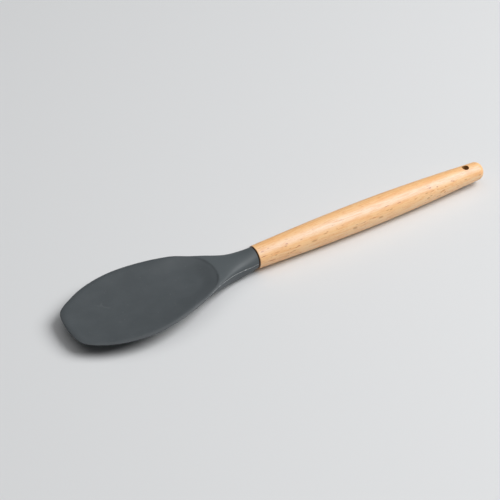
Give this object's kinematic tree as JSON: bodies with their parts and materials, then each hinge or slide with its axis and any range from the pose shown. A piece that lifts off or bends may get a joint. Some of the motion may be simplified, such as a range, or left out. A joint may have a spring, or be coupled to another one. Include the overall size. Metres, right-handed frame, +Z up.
{
  "type": "silicone spatula",
  "caption": "Spoon spatula with a dished leaf-shaped silicone head, a tapering neck and a turned wooden handle with a hanging hole.",
  "frame": {"origin": "on the table under the middle of the overall length, in the plane that halves the tool's width", "axes": "+X along the handle from the blade's tip to the hanging end, +Y across the blade, +Z up, out of the dished face"},
  "size_m": [0.322, 0.0668, 0.0193],
  "materials": {
    "silicone": "matte, slightly waxy",
    "nylon": "moulded, matte",
    "beech": "sanded and oiled, satin",
    "adhesive": "cured, dull"
  },
  "bodies": {
    "root": {"silicone_head": "silicone", "nylon_core": "nylon", "beech_handle": "beech", "stud_adhesive": "adhesive"}
  },
  "joints": []
}
